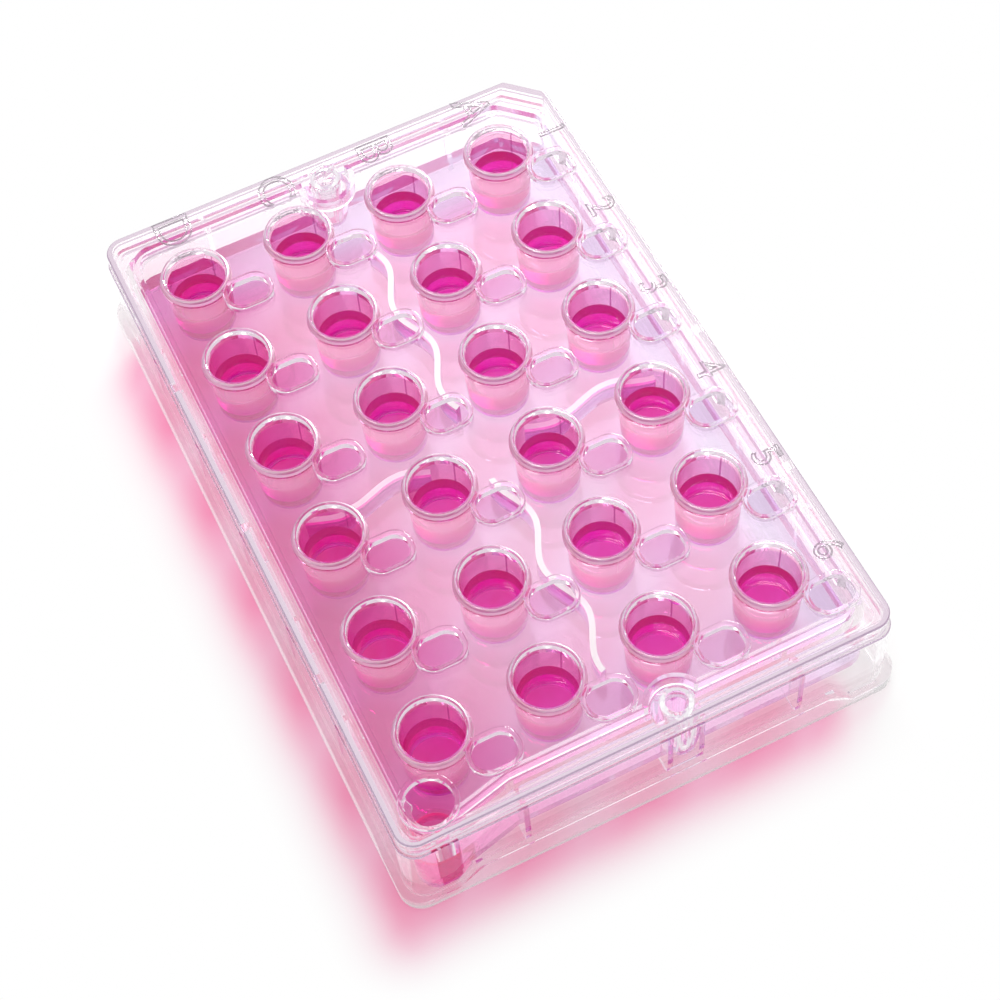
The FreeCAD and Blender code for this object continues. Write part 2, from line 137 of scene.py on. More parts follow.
# ---- finish of the medium and the membranes ----
WATER_IOR = 1.33
WELL_SWIRL, TRAY_SWIRL = 160.0, 40.0
# Painted glow: the media give off a faint light in their own colour, standing in for light
# scattered inside them.
WELL_PAINTED_GLOW, TRAY_PAINTED_GLOW = 0.06, 0.04
# Painted glow: the piped colours stand in, as flat light, for light that has bounced too often
# inside a medium.
WELL_MEDIUM_SHADE, WELL_MEDIUM_PIPED = (0.998, 0.70, 0.84), (0.85, 0.01, 0.48)
TRAY_MEDIUM_SHADE, TRAY_MEDIUM_PIPED = (0.998, 0.72, 0.85), (0.75, 0.12, 0.38)
WELL_THICK = (1.0, 0.5, 0.75)           # thicker swirls, against the thin colour
TRAY_THICK = (1.0, 0.85, 0.96)
SUMP_THIN, SUMP_THICK = (0.76, 0.004, 0.26), (0.70, 0.003, 0.22)
FILM_IOR = 1.05
FILM_ROUGHNESS = 0.35
FILM_CLEAR = 0.8
FILM_SHADE, FILM_PIPED = (0.99, 0.93, 0.96), (0.8, 0.5, 0.65)

# ---- labels ----
CAP_SHARE = 0.72                        # height of a capital against the size of the type
LETTER_MARGIN, DIGIT_MARGIN = 4.5 * MM, 4.8 * MM
STROKE_ROUNDING = 3

# ---- bench, light and camera ----
BENCH_HALF = 2.0
GLOW_START, GLOW_END = 0.0 * MM, 14.0 * MM      # the bench turns plain white over this distance
THROUGH_SHARE = 0.20                    # how much of that white is seen through the plate
MIRROR_SHARE = 0.55                     # and the least of it that is seen mirrored
SKY_LOW, SKY_HIGH = (0.30, 0.27, 0.38), (0.95, 0.95, 0.96)
SKY_TURN = 0.4
AMBIENT = (0.25, 0.25, 0.25)
KEY_FROM, KEY_SIZE, KEY_POWER = Vector((-0.45, 0.40, 0.40)), (0.26, 0.26), 8.2
TOP_PLACE, TOP_SIZE, TOP_POWER = Vector((-0.33, 0.15, 0.54)), (0.42, 0.30), 0.62
TOP_CORE, TOP_RIM = 0.22, 0.15          # bright middle and dim rim of the top softbox
CAMERA_TARGET = Vector((12.7, -1.8, 15.0)) * MM
SENSOR_WIDTH = 36.0
NEAREST_SEEN = 0.01
LIGHT_BOUNCES = 16
CLEAR_LAYERS = 24


def centre_of(node):
    """Middle of a node's box."""
    low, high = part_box(node)
    return (low + high) / 2


def well_names():
    """A1 to D6."""
    for letter in ROWS:
        for column in range(1, COLUMNS + 1):
            yield f"{letter}{column}"


# ---- settings ----
class PlateSizes(bpy.types.PropertyGroup):
    """Sizes of the details that are dressed on the plate."""
    deck_top: bpy.props.FloatProperty(
        name="Deck height", description="Top face of the deck above the bench", default=19.5 * MM,
        subtype="DISTANCE", unit="LENGTH")
    crest: bpy.props.FloatProperty(
        name="Baffle crest", description="Top face of the baffles above the bench",
        default=11.6 * MM, subtype="DISTANCE", unit="LENGTH")
    letter_height: bpy.props.FloatProperty(
        name="Letter height", description="Height of the row letters", default=6.4 * MM,
        subtype="DISTANCE", unit="LENGTH")
    digit_height: bpy.props.FloatProperty(
        name="Digit height", description="Height of the column numbers", default=4.8 * MM,
        subtype="DISTANCE", unit="LENGTH")
    stroke: bpy.props.FloatProperty(
        name="Label stroke", description="Radius of the raised label lines", default=0.16 * MM,
        subtype="DISTANCE", unit="LENGTH")
    seat: bpy.props.FloatProperty(
        name="Wetting overlap",
        description="How far the liquid's skin sinks into the wall that it wets",
        default=0.03 * MM, subtype="DISTANCE", unit="LENGTH")
    meniscus: bpy.props.FloatProperty(
        name="Meniscus", description="How far the liquid climbs the wall", default=0.55 * MM,
        subtype="DISTANCE", unit="LENGTH")


class PlateColours(bpy.types.PropertyGroup):
    """Colours of the plastics, liquids and the bench."""
    plastic: bpy.props.FloatVectorProperty(
        name="Clear plastic", description="Tint of the clear mouldings", subtype="COLOR", size=3,
        default=(0.985, 0.965, 0.978), min=0.0, max=1.0)
    tray_liquid: bpy.props.FloatVectorProperty(
        name="Tray medium", description="Colour of the medium in the tray", subtype="COLOR", size=3,
        default=(0.77, 0.70, 0.87), min=0.0, max=1.0)
    # Painted shade: the tray's medium turns deeper pink towards the side of row D.
    tray_bank: bpy.props.FloatVectorProperty(
        name="Tray medium, low side",
        description="Colour of the tray's medium towards the side of row D",
        subtype="COLOR", size=3, default=(0.70, 0.17, 0.50), min=0.0, max=1.0)
    well_liquid: bpy.props.FloatVectorProperty(
        name="Well medium", description="Colour of the medium in the wells",
        subtype="COLOR", size=3, default=(0.70, 0.036, 0.42), min=0.0, max=1.0)
    # Painted light and shade: the clear well walls are tinted pink for the medium's light, and
    # deeper below the liquid level.
    wet_wall: bpy.props.FloatVectorProperty(
        name="Well walls", description="Tint of the thin walls that hang in the medium",
        subtype="COLOR", size=3, default=(0.98, 0.42, 0.70), min=0.0, max=1.0)
    # Painted shade: the clear baffle sides are tinted deeper pink, standing in for the shadow lines
    # along the baffles.
    wet_baffle: bpy.props.FloatVectorProperty(
        name="Baffle sides", description="Tint of the sides of the baffles",
        subtype="COLOR", size=3, default=(0.95, 0.50, 0.78), min=0.0, max=1.0)
    # Painted shade: the rounded outer edges get a darker tint, standing in for the dark lines that
    # reflection and refraction draw along them.
    edge: bpy.props.FloatVectorProperty(
        name="Outer edges",
        description="Tint of the rounded outer edges, which look deeper than the faces",
        subtype="COLOR", size=3, default=(0.38, 0.27, 0.40), min=0.0, max=1.0)
    # Painted highlight: the baffle crests are matt white, standing in for the bright line that they
    # catch.
    frosted: bpy.props.FloatVectorProperty(
        name="Frosted crests", description="Colour of the matt crests of the baffles",
        subtype="COLOR", size=3, default=(0.97, 0.94, 0.96), min=0.0, max=1.0)
    membrane: bpy.props.FloatVectorProperty(
        name="Membrane", description="Colour of the wet membranes", subtype="COLOR", size=3,
        default=(0.80, 0.52, 0.84), min=0.0, max=1.0)
    bench: bpy.props.FloatVectorProperty(
        name="Bench", description="Colour of the bench", subtype="COLOR", size=3,
        default=(0.98, 0.97, 0.97), min=0.0, max=1.0)


class PlateView(bpy.types.PropertyGroup):
    """Where the camera stands."""
    azimuth: bpy.props.FloatProperty(
        name="Azimuth", description="Camera direction round the plate",
        default=math.radians(69.47),
        subtype="ANGLE", unit="ROTATION")
    elevation: bpy.props.FloatProperty(
        name="Elevation", description="Camera height angle", default=math.radians(58.83),
        subtype="ANGLE", unit="ROTATION")
    roll: bpy.props.FloatProperty(
        name="Roll", description="Camera tilt about its own axis", default=math.radians(-6.29),
        subtype="ANGLE", unit="ROTATION")
    distance: bpy.props.FloatProperty(
        name="Distance", description="Camera distance from its target", default=348.4 * MM,
        subtype="DISTANCE", unit="LENGTH")
    lens: bpy.props.FloatProperty(
        name="Lens", description="Focal length in millimetres", default=78.5, min=10.0,
        max=300.0)


# ---- material helpers ----
class Tree:
    """A node tree with short calls for adding and joining nodes."""

    def __init__(self, tree):
        self.tree = tree
        self.column = 0

    def add(self, kind, **values):
        """Adds a node to the right of the last one."""
        node = self.tree.nodes.new(kind)
        self.column += 1
        node.location = (180 * self.column, 0)
        for key, value in values.items():
            setattr(node, key, value)
        return node

    def join(self, source, target):
        self.tree.links.new(source, target)

    def feed(self, sockets, values):
        """Gives each socket its value, or the output that is to drive it."""
        for socket, value in zip(sockets, values):
            if isinstance(value, bpy.types.NodeSocket):
                self.join(value, socket)
            elif value is not None:
                socket.default_value = value

    def math(self, operation, a, b=None, clamp=False):
        node = self.add("ShaderNodeMath", operation=operation, use_clamp=clamp)
        self.feed(node.inputs, (a, b))
        return node.outputs[0]

    def mix(self, factor, a, b):
        """Colour a turning into colour b."""
        node = self.add("ShaderNodeMix", data_type="RGBA")
        self.feed((node.inputs[0], node.inputs[6], node.inputs[7]), (factor, a, b))
        return node.outputs[2]

    def blend(self, share, first, second):
        """Shader first turning into shader second."""
        node = self.add("ShaderNodeMixShader")
        self.feed(node.inputs, (share, first, second))
        return node.outputs[0]

    def ease(self, value, start, end, low=0.0, high=1.0):
        """Smooth step from low at start to high at end."""
        node = self.add("ShaderNodeMapRange", interpolation_type="SMOOTHSTEP")
        names = ("Value", "From Min", "From Max", "To Min", "To Max")
        self.feed([node.inputs[name] for name in names], (value, start, end, low, high))
        return node.outputs[0]

    def place(self):
        """Place on the piece, in the frame's metres."""
        return self.add("ShaderNodeTexCoord").outputs["Object"]

    def axes(self, place=None):
        """X, Y and Z of a place, the one on the piece if none is given."""
        split = self.add("ShaderNodeSeparateXYZ")
        self.join(place or self.place(), split.inputs[0])
        return split.outputs

    def grain(self, scale, detail=2.0):
        """Noise node over the place on the piece."""
        noise = self.add("ShaderNodeTexNoise")
        names = ("Vector", "Scale", "Detail")
        self.feed([noise.inputs[name] for name in names], (self.place(), scale, detail))
        return noise

    def outside(self):
        """1 on the outside of a surface, 0 on its inside."""
        back = self.add("ShaderNodeNewGeometry").outputs["Backfacing"]
        return self.math("SUBTRACT", 1.0, back)

    def finish(self, surface, kind="ShaderNodeOutputMaterial"):
        self.join(surface, self.add(kind).inputs["Surface"])


def opaque(colour):
    """Colour with full alpha."""
    return (*colour, 1.0)


def scaled(colour, shares):
    """Each channel of a colour times its share."""
    return tuple(channel * share for channel, share in zip(colour, shares))


def new_material(name):
    """An empty node material and its tree."""
    material = bpy.data.materials.new(name)
    material.use_nodes = True
    material.node_tree.nodes.clear()
    return material, Tree(material.node_tree)


def new_group(name, inputs, outputs):
    """An empty node group with named sockets, its tree and its two end nodes."""
    group = bpy.data.node_groups.new(name, "ShaderNodeTree")
    for in_out, sockets in (("INPUT", inputs), ("OUTPUT", outputs)):
        for label, kind in sockets:
            group.interface.new_socket(label, in_out=in_out, socket_type="NodeSocket" + kind)
    t = Tree(group)
    return group, t, t.add("NodeGroupInput"), t.add("NodeGroupOutput")


def flow_marks_group():
    """Faint moulding flow lines and handling scuffs, as a roughness and a height."""
    group = bpy.data.node_groups.get("moulding_marks")
    if group:
        return group
    group, t, entry, leave = new_group(
        "moulding_marks", (("Base Roughness", "Float"), ("Scuff", "Float")),
        (("Roughness", "Float"), ("Height", "Float")))
    waves = t.grain(90.0)
    fine = t.grain(900.0, 3.0)
    worn = t.math("GREATER_THAN", fine.outputs["Fac"], 0.72)
    scuffs = t.math("MULTIPLY", worn, entry.outputs["Scuff"])
    rough = t.math("ADD", entry.outputs["Base Roughness"], scuffs)
    t.join(rough, leave.inputs["Roughness"])
    t.join(waves.outputs["Fac"], leave.inputs["Height"])
    return group


def medium_group():
    """Slow swirls of thicker and thinner colour in a liquid."""
    group = bpy.data.node_groups.get("medium_swirl")
    if group:
        return group
    group, t, entry, leave = new_group(
        "medium_swirl", (("Thin", "Color"), ("Thick", "Color"), ("Swirl Scale", "Float")),
        (("Colour", "Color"),))
    swirl = t.grain(entry.outputs["Swirl Scale"])
    swirl.inputs["Distortion"].default_value = 0.8
    above = t.math("SUBTRACT", swirl.outputs["Fac"], 0.35)
    thickness = t.math("MULTIPLY", above, 3.0, clamp=True)
    mixed = t.mix(thickness, entry.outputs["Thin"], entry.outputs["Thick"])
    t.join(mixed, leave.inputs["Colour"])
    return group


def see_through(t, surface, shade, piped):
    """Ends a clear material: its shadow is tinted by shade, and light caught in it after too many
    bounces shows as a flat painted glow of colour piped.
    """
    path = t.add("ShaderNodeLightPath")
    caught = t.add("ShaderNodeEmission")
    caught.inputs["Color"].default_value = opaque(piped)
    late = t.math("GREATER_THAN", path.outputs["Ray Depth"], PIPED_DEPTH)
    inside = t.blend(late, surface, caught.outputs[0])
    clear = t.add("ShaderNodeBsdfTransparent")
    clear.inputs["Color"].default_value = opaque(shade)
    t.finish(t.blend(path.outputs["Is Shadow Ray"], inside, clear.outputs[0]))


def seam_mask(t):
    """1 on the thin upright mould line of each well's wall, 0 elsewhere."""
    axes = t.axes()
    first = centre_of("well_medium_A1")
    pitch = centre_of("well_medium_A2").x - first.x
    local = []
    for axis, start in (("X", first.x), ("Y", first.y)):
        turns = t.math("DIVIDE", t.math("SUBTRACT", axes[axis], start), pitch)
        share = t.math("FRACT", t.math("ADD", turns, 0.5))
        local.append(t.math("MULTIPLY", t.math("SUBTRACT", share, 0.5), pitch))
    x, y = local
    cos, sin = math.cos(SEAM_ANGLE), math.sin(SEAM_ANGLE)
    along = t.math("ADD", t.math("MULTIPLY", x, cos), t.math("MULTIPLY", y, sin))
    across = t.math("SUBTRACT", t.math("MULTIPLY", y, cos), t.math("MULTIPLY", x, sin))
    thin = t.math("LESS_THAN", t.math("ABSOLUTE", across), SEAM_WIDTH / 2)
    return t.math("MULTIPLY", thin, t.math("GREATER_THAN", along, 0.0))


def clear_plastic(name, tint, scuff, shade=PLASTIC_SHADE, gleam=0.0, hanging=False):
    """Clear moulded plastic. gleam is a share of soft gloss, and hanging makes it a well's wall,
    with a painted shade that deepens its tint below the liquid level, a mould line and a faint veil
    above."""
    material, t = new_material(name)
    shader = t.add("ShaderNodeBsdfPrincipled")
    shader.inputs["Base Color"].default_value = opaque(tint)
    shader.inputs["Transmission Weight"].default_value = 1.0
    shader.inputs["IOR"].default_value = PLASTIC_IOR
    marks = t.add("ShaderNodeGroup", node_tree=flow_marks_group())
    marks.inputs["Base Roughness"].default_value = POLISH
    marks.inputs["Scuff"].default_value = scuff
    t.join(marks.outputs["Roughness"], shader.inputs["Roughness"])
    bump = t.add("ShaderNodeBump")
    bump.inputs["Strength"].default_value = MARK_STRENGTH
    bump.inputs["Distance"].default_value = MARK_DEPTH
    t.join(marks.outputs["Height"], bump.inputs["Height"])
    t.join(bump.outputs["Normal"], shader.inputs["Normal"])
    surface = shader.outputs[0]
    if hanging:
        # painted shade: the wall's tint turns deeper below the liquid level
        above_level = t.ease(t.axes()["Z"], WELL_LEVEL - TIDE_BELOW, WELL_LEVEL + TIDE_ABOVE)
        wall = t.mix(above_level, opaque(scaled(tint, BELOW_LEVEL_SHADE)), opaque(tint))
        seamed = t.mix(seam_mask(t), wall, opaque(SEAM_COLOUR))
        t.join(seamed, shader.inputs["Base Color"])
        veil = t.add("ShaderNodeBsdfTranslucent")
        veil.inputs["Color"].default_value = opaque(VEIL_COLOUR)
        share = t.math("MULTIPLY", t.math("MULTIPLY", t.outside(), VEIL_SHARE), above_level)
        surface = t.blend(share, surface, veil.outputs[0])
    if gleam:
        gloss = t.add("ShaderNodeBsdfGlossy")
        gloss.inputs["Roughness"].default_value = GLEAM_ROUGHNESS
        share = t.math("MULTIPLY", t.outside(), gleam)
        surface = t.blend(share, surface, gloss.outputs[0])
    see_through(t, surface, shade, PLASTIC_PIPED)
    return material


def frosted_plastic(name, colour, clear):
    """Matt white, a painted highlight that stands in for the bright line along a baffle's crest."""
    material, t = new_material(name)
    shader = t.add("ShaderNodeBsdfPrincipled")
    shaded = scaled(colour, (0.93, 0.93, 0.93))
    speckled = t.mix(t.grain(1500.0).outputs["Fac"], opaque(colour), opaque(shaded))
    t.join(speckled, shader.inputs["Base Color"])
    shader.inputs["Roughness"].default_value = CREST_ROUGHNESS
    shader.inputs["Transmission Weight"].default_value = clear
    t.finish(shader.outputs[0])
    return material


def liquid(name, thin, thick, scale, shade, piped, glow, shaded_side=None):
    """Pink medium with slow swirls. Its last argument is a painted shade: the deeper tint that the
    medium turns to on the side of row D.
    """
    material, t = new_material(name)
    shader = t.add("ShaderNodeBsdfPrincipled")
    swirl = t.add("ShaderNodeGroup", node_tree=medium_group())
    swirl.inputs["Thin"].default_value = opaque(thin)
    swirl.inputs["Thick"].default_value = opaque(thick)
    swirl.inputs["Swirl Scale"].default_value = scale
    colour = swirl.outputs["Colour"]
    if shaded_side:
        colour = t.mix(t.ease(t.axes()["Y"], SHADED_SIDE_START, SHADED_SIDE_END), opaque(shaded_side), colour)
    t.join(colour, shader.inputs["Base Color"])
    # painted glow: the medium lights itself faintly in its own colour
    t.join(colour, shader.inputs["Emission Color"])
    shader.inputs["Emission Strength"].default_value = glow
    shader.inputs["Transmission Weight"].default_value = 1.0
    shader.inputs["Roughness"].default_value = 0.0
    shader.inputs["IOR"].default_value = WATER_IOR
    see_through(t, shader.outputs[0], shade, piped)
    return material


def membrane_film(colour):
    """Thin wet film with fine pores."""
    material, t = new_material("membrane_film")
    shader = t.add("ShaderNodeBsdfPrincipled")
    light = tuple(min(1.0, channel * 1.15) for channel in colour)
    porous = t.mix(t.grain(4000.0).outputs["Fac"], opaque(colour), opaque(light))
    t.join(porous, shader.inputs["Base Color"])
    shader.inputs["Roughness"].default_value = FILM_ROUGHNESS
    shader.inputs["Transmission Weight"].default_value = FILM_CLEAR
    shader.inputs["IOR"].default_value = FILM_IOR
    see_through(t, shader.outputs[0], FILM_SHADE, FILM_PIPED)
    return material


# ---- pieces ----
def dress(node, *materials):
    """Gives a CAD node its materials, with the first one on every face."""
    node.data.materials.clear()
    for material in materials:
        node.data.materials.append(material)
    for face in node.data.polygons:
        face.material_index = 0


def add_piece(name, mesh, slot, *materials):
    """Adds a piece that rides on the plate's one body."""
    piece = bpy.data.objects.new(name, mesh)
    bpy.context.scene.collection.objects.link(piece)
    for material in materials:
        mesh.materials.append(material)
    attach(piece, "root")
    return piece


def soften(bm):
    """Smooth shading that stops at real corners."""
    for face in bm.faces:
        face.smooth = True
    for edge in bm.edges:
        edge.smooth = edge.calc_face_angle(math.pi) < CORNER_ANGLE


def lathe(name, profile, centre):
    """Closed surface of revolution from (radius, height) points, first and last on the axis."""
    mesh = bpy.data.meshes.new(name)
    bm = bmesh.new()
    rings = []
    for radius, height in profile:
        if radius == 0:
            rings.append([bm.verts.new((centre.x, centre.y, height))])
            continue
        ring = []
        for i in range(LATHE_SEGMENTS):
            turn = 2 * math.pi * i / LATHE_SEGMENTS
            ring.append(bm.verts.new((
                centre.x + radius * math.cos(turn), centre.y + radius * math.sin(turn), height)))
        rings.append(ring)
    for low, high in zip(rings, rings[1:]):
        for i in range(LATHE_SEGMENTS):
            j = (i + 1) % LATHE_SEGMENTS
            if len(low) == 1:
                bm.faces.new((low[0], high[j], high[i]))
            elif len(high) == 1:
                bm.faces.new((low[i], low[j], high[0]))
            else:
                bm.faces.new((low[i], low[j], high[j], high[i]))
    bmesh.ops.recalc_face_normals(bm, faces=bm.faces)
    soften(bm)
    bm.to_mesh(mesh)
    bm.free()
    return mesh


def well_profile(sizes):
    """Liquid in one well: wets the bore, and climbs it in a meniscus."""
    seat = sizes.seat
    radius = (WELL_HIGH.x - WELL_LOW.x) / 2
    ledge = LEDGE_RADIUS + seat
    ledge_top = WELL_FLOOR + LEDGE_HEIGHT
    floor = WELL_FLOOR - seat
    points = [(0, floor), (ledge, floor), (ledge, ledge_top - LEDGE_SLOPE),
              (BORE_FOOT + seat, ledge_top + seat), (radius + seat, WELL_LEVEL)]
    for step in range(MENISCUS_STEPS + 1):
        share = step / MENISCUS_STEPS
        climb = sizes.meniscus * math.exp(-MENISCUS_DECAY * share)
        edge = radius + seat if step == 0 else radius
        points.append((edge - MENISCUS_REACH * share, WELL_LEVEL + climb))
    points.append((0, WELL_LEVEL + sizes.meniscus * math.exp(-MENISCUS_DECAY)))
    return points


def on_outer_edge(face):
    """True on the rounded edges that run round the outside."""
    to_x = CAD_HIGH.x - abs(face.center.x)
    to_y = CAD_HIGH.y - abs(face.center.y)
    outward = abs(face.normal.x if to_x < to_y else face.normal.y)
    least, most = EDGE_TILT
    rounded = least < abs(face.normal.z) < most
    return min(to_x, to_y) < EDGE_BAND and outward > EDGE_OUTWARD and rounded


def on_baffle(place):
    """True near the cross that the baffles make on the tray's floor."""
    inside_x = CAD_HIGH.x - abs(place.x) > BAFFLE_END
    inside_y = CAD_HIGH.y - abs(place.y) > BAFFLE_END
    return inside_x and inside_y and min(abs(place.x), abs(place.y)) < BAFFLE_REACH


class PLATE_OT_tray(bpy.types.Operator):
    """Finishes the feeder tray in clear plastic"""
    bl_idname = "well_plate.tray"
    bl_label = "Feeder tray"

    def execute(self, context):
        colours = context.scene.plate_colours
        crest = context.scene.plate_sizes.crest
        tray = NODES["feeder_tray"]
        dress(
            tray,
            clear_plastic("clear_tray_plastic", colours.plastic, TRAY_SCUFF, TRAY_SHADE),
            frosted_plastic("crest_painted_highlight", colours.frosted, CREST_CLEAR),
            frosted_plastic("faint_crest_painted_highlight", colours.frosted, FAINT_CREST_CLEAR),
            clear_plastic("baffle_plastic", colours.wet_baffle, TRAY_SCUFF),
            clear_plastic("tray_edge_painted_shade", colours.edge, TRAY_SCUFF))
        frosted, faint, baffle, edge = 1, 2, 3, 4
        for face in tray.data.polygons:
            place, rise = face.center, face.normal.z
            in_medium = MEDIUM_LOW.z < place.z < crest
            # painted highlight on the crests of the baffles
            if rise > FLAT and abs(place.z - crest) < LEVEL_SLACK:
                face.material_index = frosted if abs(place.y) < SPINE_REACH else faint
            # painted shade on the baffle sides
            elif abs(rise) < UPRIGHT and in_medium and on_baffle(place):
                face.material_index = baffle
            # painted shade on the rounded outer edges
            elif on_outer_edge(face):
                face.material_index = edge
        return {"FINISHED"}


class PLATE_OT_insert(bpy.types.Operator):
    """Finishes the insert plate in clear plastic"""
    bl_idname = "well_plate.insert"
    bl_label = "Insert plate"

    def execute(self, context):
        colours = context.scene.plate_colours
        insert = NODES["insert_plate"]
        dress(
            insert,
            clear_plastic("clear_insert_plastic", colours.plastic, INSERT_SCUFF),
            clear_plastic("well_wall_plastic", colours.wet_wall, INSERT_SCUFF, hanging=True),
            clear_plastic("well_rim_plastic", colours.plastic, INSERT_SCUFF, gleam=RIM_GLEAM),
            clear_plastic("insert_edge_painted_shade", colours.edge, INSERT_SCUFF))
        wall, rim, edge = 1, 2, 3
        wells = [centre_of("well_medium_" + name).xy for name in well_names()]
        for face in insert.data.polygons:
            # painted shade on the rounded outer edges
            if on_outer_edge(face):
                face.material_index = edge
            if abs(face.normal.z) > FLAT:
                continue
            out = min((face.center.xy - well for well in wells), key=lambda way: way.length)
            if out.length < WALL_REACH and out.dot(face.normal.xy) > 0:
                face.material_index = wall if face.center.z < RIM_TOP - RIM_BAND else rim
        return {"FINISHED"}


class PLATE_OT_membranes(bpy.types.Operator):
    """Finishes the porous membranes under the wells"""
    bl_idname = "well_plate.membranes"
    bl_label = "Membranes"

    def execute(self, context):
        material = membrane_film(context.scene.plate_colours.membrane)
        for name in well_names():
            film = NODES["membrane_" + name]
            dress(film, material)
            for face in film.data.polygons:
                face.use_smooth = abs(face.normal.z) < FLAT
        return {"FINISHED"}


class PLATE_OT_well_media(bpy.types.Operator):
    """Fills every well with deep pink medium that climbs the wall in a meniscus"""
    bl_idname = "well_plate.well_media"
    bl_label = "Medium in the wells"

    def execute(self, context):
        thin = context.scene.plate_colours.well_liquid
        material = liquid(
            "well_medium_liquid", thin, scaled(thin, WELL_THICK), WELL_SWIRL,
            WELL_MEDIUM_SHADE, WELL_MEDIUM_PIPED, WELL_PAINTED_GLOW)
        profile = well_profile(context.scene.plate_sizes)
        for name in well_names():
            mesh = lathe("well_liquid_" + name, profile, centre_of("well_medium_" + name))
            piece = add_piece("well_liquid_" + name, mesh, "well_medium", material)
            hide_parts("well_medium_" + name)
        return {"FINISHED"}


class PLATE_OT_tray_medium(bpy.types.Operator):
    """Fills the tray with pink medium round the wells"""
    bl_idname = "well_plate.tray_medium"
    bl_label = "Medium in the tray"

    def execute(self, context):
        sizes, colours = context.scene.plate_sizes, context.scene.plate_colours
        thin = colours.tray_liquid
        material = liquid(
            "tray_medium_liquid", thin, scaled(thin, TRAY_THICK), TRAY_SWIRL,
            TRAY_MEDIUM_SHADE, TRAY_MEDIUM_PIPED, TRAY_PAINTED_GLOW, colours.tray_bank)
        deep = liquid(
            "sump_medium_liquid", SUMP_THIN, SUMP_THICK, WELL_SWIRL,
            TRAY_MEDIUM_SHADE, TRAY_MEDIUM_PIPED, WELL_PAINTED_GLOW)
        mesh = NODES["tray_medium"].data.copy()
        mesh.name = "tray_liquid"
        mesh.materials.clear()
        bm = bmesh.new()
        bm.from_mesh(mesh)
        bmesh.ops.remove_doubles(bm, verts=bm.verts, dist=WELD_DISTANCE)
        bm.normal_update()
        for vert in bm.verts:
            vert.co += vert.normal * sizes.seat
        soften(bm)
        bm.to_mesh(mesh)
        bm.free()
        piece = add_piece("tray_liquid", mesh, "tray_medium", material, deep)
        for face in mesh.polygons:
            near_sump = (face.center.xy - SUMP).length < SUMP_REACH
            side = face.center.z < SUMP_TOP and abs(face.normal.z) < STEEP
            face.material_index = 1 if near_sump and side else 0
        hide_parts("tray_medium")
        return {"FINISHED"}


def label_mesh(name, text, height, place, stroke):
    """Raised outline of one letter or digit, lying on the deck."""
    curve = bpy.data.curves.new(name, "FONT")
    curve.body = text
    curve.align_x = "CENTER"
    curve.align_y = "CENTER"
    curve.size = height / CAP_SHARE
    curve.fill_mode = "NONE"
    curve.bevel_depth = stroke
    curve.bevel_resolution = STROKE_ROUNDING
    holder = bpy.data.objects.new(name, curve)
    bpy.context.scene.collection.objects.link(holder)
    bpy.context.view_layer.update()
    mesh = bpy.data.meshes.new_from_object(holder)
    bpy.data.objects.remove(holder)
    bpy.data.curves.remove(curve)
    mesh.transform(Matrix.Translation(place))
    mesh.name = name
    return mesh


class PLATE_OT_labels(bpy.types.Operator):
    """Raises the row letters and column numbers on the deck"""
    bl_idname = "well_plate.labels"
    bl_label = "Row and column labels"

    def execute(self, context):
        sizes = context.scene.plate_sizes
        tint = scaled(context.scene.plate_colours.plastic, (LABEL_TINT,) * 3)
        material = clear_plastic("label_plastic", tint, 0.0)
        labels = []
        for letter in ROWS:
            place = (CAD_LOW.x + LETTER_MARGIN, centre_of(f"well_medium_{letter}1").y)
            labels.append(("row_letter_", letter, sizes.letter_height, place))
        for column in range(1, COLUMNS + 1):
            place = (centre_of(f"well_medium_A{column}").x, CAD_HIGH.y - DIGIT_MARGIN)
            labels.append(("column_digit_", str(column), sizes.digit_height, place))
        for kind, text, height, place in labels:
            on_deck = Vector((*place, sizes.deck_top))
            mesh = label_mesh(kind + text, text, height, on_deck, sizes.stroke)
            add_piece(kind + text, mesh, "clear_insert", material)
        return {"FINISHED"}


# ---- stage ----
def bench_material(colour):
    """White bench that keeps the plate's shadow and turns plain white farther out."""
    material, t = new_material("bench_white")
    matt = t.add("ShaderNodeBsdfDiffuse")
    matt.inputs["Color"].default_value = opaque(colour)
    plain = t.add("ShaderNodeEmission")
    path = t.add("ShaderNodeLightPath")
    through = path.outputs["Is Transmission Ray"]
    axes = t.axes()
    squares = []
    for axis, reach in (("X", CAD_HIGH.x), ("Y", CAD_HIGH.y)):
        off = t.math("SUBTRACT", t.math("ABSOLUTE", axes[axis]), reach)
        past = t.math("MAXIMUM", off, 0.0)
        squares.append(t.math("MULTIPLY", past, past))
    distance = t.math("SQRT", t.math("ADD", *squares))
    far = t.ease(distance, GLOW_START, GLOW_END)
    mirrored = t.math("MULTIPLY", path.outputs["Is Glossy Ray"], t.math("SUBTRACT", 1.0, through))
    mirrored = t.math("MULTIPLY", mirrored, t.math("MAXIMUM", far, MIRROR_SHARE))
    seen = t.math("MULTIPLY", far, path.outputs["Is Camera Ray"])
    share = t.math("MAXIMUM", mirrored, seen)
    share = t.math("MAXIMUM", share, t.math("MULTIPLY", through, THROUGH_SHARE))
    t.finish(t.blend(share, matt.outputs[0], plain.outputs[0]))
    return material


